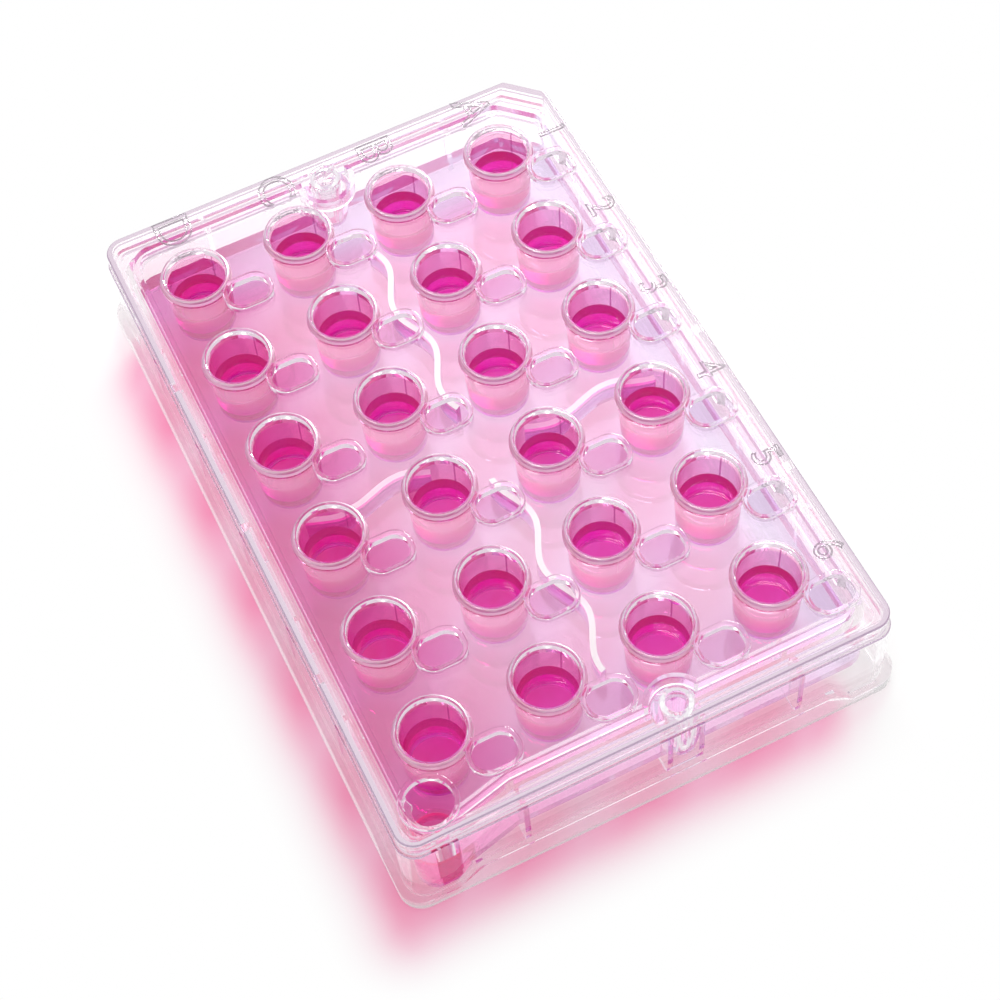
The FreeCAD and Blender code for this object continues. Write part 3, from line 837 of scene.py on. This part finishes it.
def studio_world():
    """White room that looks darker towards its floor when it is mirrored."""
    world = bpy.data.worlds.new("studio")
    bpy.context.scene.world = world
    world.use_nodes = True
    world.node_tree.nodes.clear()
    t = Tree(world.node_tree)
    ramp = t.add("ShaderNodeValToRGB")
    low, high = ramp.color_ramp.elements
    low.position, low.color = 0.0, opaque(SKY_LOW)
    high.position, high.color = SKY_TURN, opaque(SKY_HIGH)
    up = t.axes(t.add("ShaderNodeTexCoord").outputs["Generated"])["Z"]
    t.join(up, ramp.inputs[0])
    path = t.add("ShaderNodeLightPath")
    soft = t.mix(path.outputs["Is Glossy Ray"], opaque(AMBIENT), ramp.outputs[0])
    shader = t.add("ShaderNodeBackground")
    t.join(t.mix(path.outputs["Is Camera Ray"], soft, opaque(WHITE)), shader.inputs["Color"])
    t.finish(shader.outputs[0], "ShaderNodeOutputWorld")


def area_lamp(name, place, target, size, power):
    """Softbox that stands at place and faces target."""
    data = bpy.data.lights.new(name, "AREA")
    data.shape = "RECTANGLE"
    data.size, data.size_y = size
    data.energy = power
    lamp = bpy.data.objects.new(name, data)
    bpy.context.scene.collection.objects.link(lamp)
    lamp.location = place
    lamp.rotation_euler = (target - place).to_track_quat("-Z", "Y").to_euler()
    return lamp


def fade_edges(data, core, rim):
    """Makes an area lamp brightest in its middle, like a softbox with one bulb in it."""
    data.use_nodes = True
    data.node_tree.nodes.clear()
    t = Tree(data.node_tree)
    middle = t.add("ShaderNodeVectorMath", operation="SUBTRACT")
    t.join(t.add("ShaderNodeNewGeometry").outputs["Parametric"], middle.inputs[0])
    middle.inputs[1].default_value = (0.5, 0.5, 0.0)
    axes = t.axes(middle.outputs[0])
    fades = [t.ease(t.math("ABSOLUTE", axes[axis]), core, 0.5, 1.0, rim) for axis in "XY"]
    glow = t.add("ShaderNodeEmission")
    t.join(t.math("MULTIPLY", *fades), glow.inputs["Strength"])
    t.finish(glow.outputs[0], "ShaderNodeOutputLight")


def studio_camera(view):
    """Camera that looks at the plate as the settings say."""
    direction = Vector((
        math.sin(view.azimuth) * math.cos(view.elevation),
        -math.cos(view.azimuth) * math.cos(view.elevation),
        math.sin(view.elevation)))
    right = (-direction).cross(Vector((0, 0, 1))).normalized()
    up = right.cross(-direction)
    tilt_right = right * math.cos(view.roll) + up * math.sin(view.roll)
    tilt_up = up * math.cos(view.roll) - right * math.sin(view.roll)
    data = bpy.data.cameras.new("camera")
    data.lens = view.lens
    data.sensor_width = SENSOR_WIDTH
    data.clip_start = NEAREST_SEEN
    camera = bpy.data.objects.new("camera", data)
    bpy.context.scene.collection.objects.link(camera)
    turn = Matrix((tilt_right, tilt_up, direction)).transposed().to_4x4()
    camera.matrix_world = Matrix.Translation(CAMERA_TARGET + direction * view.distance) @ turn
    bpy.context.scene.camera = camera


class PLATE_OT_stage(bpy.types.Operator):
    """Sets the bench, the studio light and the camera"""
    bl_idname = "well_plate.stage"
    bl_label = "Bench, light and camera"

    def execute(self, context):
        scene = context.scene
        mesh = bpy.data.meshes.new("bench")
        bm = bmesh.new()
        bmesh.ops.create_grid(bm, x_segments=1, y_segments=1, size=BENCH_HALF)
        bm.to_mesh(mesh)
        bm.free()
        bench = bpy.data.objects.new("bench", mesh)
        mesh.materials.append(bench_material(scene.plate_colours.bench))
        scene.collection.objects.link(bench)
        studio_world()
        middle = Vector((0, 0, RIM_TOP))
        area_lamp("key_softbox", middle + KEY_FROM, middle, KEY_SIZE, KEY_POWER)
        below = TOP_PLACE - Vector((0, 0, 1))
        top = area_lamp("top_softbox", TOP_PLACE, below, TOP_SIZE, TOP_POWER)
        fade_edges(top.data, TOP_CORE, TOP_RIM)
        studio_camera(scene.plate_view)
        scene.view_settings.view_transform = "Standard"
        scene.cycles.transparent_max_bounces = CLEAR_LAYERS
        scene.cycles.max_bounces = LIGHT_BOUNCES
        scene.cycles.transmission_bounces = LIGHT_BOUNCES
        scene.cycles.glossy_bounces = LIGHT_BOUNCES
        scene.cycles.caustics_reflective = False
        scene.cycles.caustics_refractive = False
        return {"FINISHED"}


class PLATE_PT_panel(bpy.types.Panel):
    """Lists the steps that dress the plate"""
    bl_idname = "PLATE_PT_panel"
    bl_label = "Well Plate"
    bl_space_type = "VIEW_3D"
    bl_region_type = "UI"
    bl_category = "Well Plate"

    def draw(self, context):
        scene = context.scene
        for operator in OPERATORS:
            self.layout.operator(operator.bl_idname)
        for group in (scene.plate_sizes, scene.plate_colours, scene.plate_view):
            for name in group.bl_rna.properties.keys():
                if name not in ("rna_type", "name"):
                    self.layout.prop(group, name)


SETTINGS = (PlateSizes, PlateColours, PlateView)
OPERATORS = (PLATE_OT_tray, PLATE_OT_insert, PLATE_OT_membranes, PLATE_OT_well_media,
             PLATE_OT_tray_medium, PLATE_OT_labels, PLATE_OT_stage)
CLASSES = (*SETTINGS, *OPERATORS, PLATE_PT_panel)


def register():
    for item in CLASSES:
        bpy.utils.register_class(item)
    bpy.types.Scene.plate_sizes = bpy.props.PointerProperty(type=PlateSizes)
    bpy.types.Scene.plate_colours = bpy.props.PointerProperty(type=PlateColours)
    bpy.types.Scene.plate_view = bpy.props.PointerProperty(type=PlateView)


def unregister():
    del bpy.types.Scene.plate_view
    del bpy.types.Scene.plate_colours
    del bpy.types.Scene.plate_sizes
    for item in reversed(CLASSES):
        bpy.utils.unregister_class(item)


def main():
    register()
    bpy.ops.well_plate.tray()
    bpy.ops.well_plate.insert()
    bpy.ops.well_plate.membranes()
    bpy.ops.well_plate.well_media()
    bpy.ops.well_plate.tray_medium()
    bpy.ops.well_plate.labels()
    bpy.ops.well_plate.stage()


if __name__ == "__main__":
    main()
